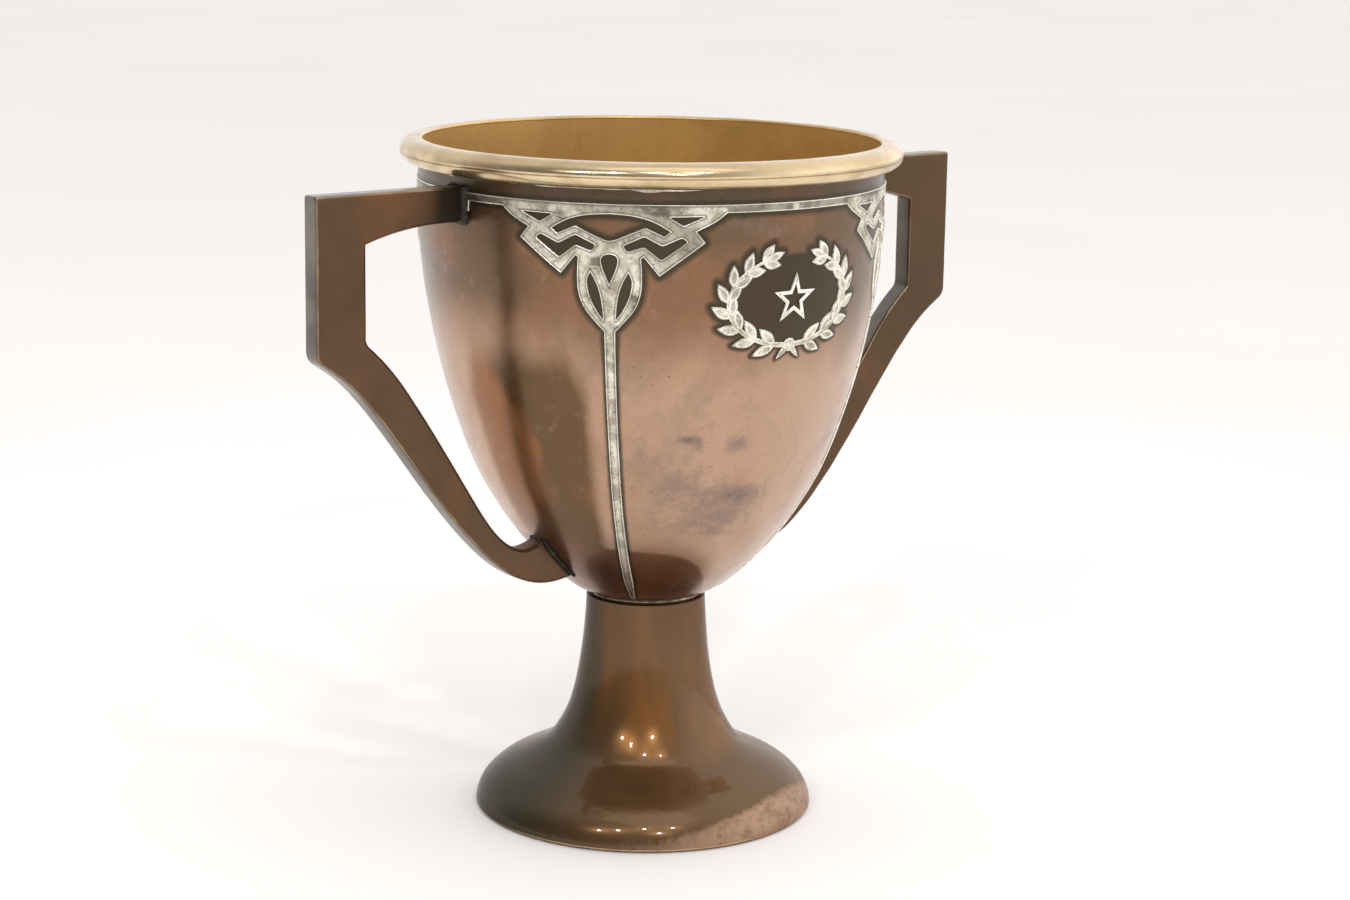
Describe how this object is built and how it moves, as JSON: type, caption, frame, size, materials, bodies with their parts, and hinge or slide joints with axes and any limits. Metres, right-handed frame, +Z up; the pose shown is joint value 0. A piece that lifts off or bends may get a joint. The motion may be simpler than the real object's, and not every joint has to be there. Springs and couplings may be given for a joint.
{
  "type": "trophy cup",
  "caption": "Loving-cup trophy: spun bronze bowl on a trumpet foot, flat cast handles to lift it by, a rolled brass rim and a pierced silver overlay with a laurel wreath.",
  "frame": {"origin": "centre of the foot's underside, on the table", "axes": "+Z up; +X towards the right handle as seen from the wreath; the wreath faces -Y"},
  "size_m": [0.2922, 0.1846, 0.254],
  "materials": {
    "patinated_bronze": "satin copper-brown bronze with mottled patina; bare golden inside",
    "dark_bronze": "satin dark brown bronze with worn bright edges",
    "polished_brass": "polished, worn",
    "silver_overlay": "burnished silver with dark tarnish in the recesses",
    "soft_solder": "dull grey solder"
  },
  "bodies": {
    "root": {"bowl_shell": "patinated_bronze", "foot_shell": "dark_bronze", "handle_left": "dark_bronze", "handle_right": "dark_bronze", "rim_bead": "polished_brass", "foot_edge_ring": "polished_brass", "joint_solder_ring": "soft_solder", "solder_upper_left": "soft_solder", "solder_lower_left": "soft_solder", "solder_upper_right": "soft_solder", "solder_lower_right": "soft_solder", "overlay_band_front": "silver_overlay", "overlay_band_back": "silver_overlay", "overlay_motif_front_left": "silver_overlay", "overlay_stem_front_left": "silver_overlay", "overlay_motif_front_right": "silver_overlay", "overlay_stem_front_right": "silver_overlay", "overlay_motif_back_right": "silver_overlay", "overlay_stem_back_right": "silver_overlay", "overlay_motif_back_left": "silver_overlay", "overlay_stem_back_left": "silver_overlay", "emblem_wreath": "silver_overlay", "emblem_star": "silver_overlay"}
  },
  "joints": []
}
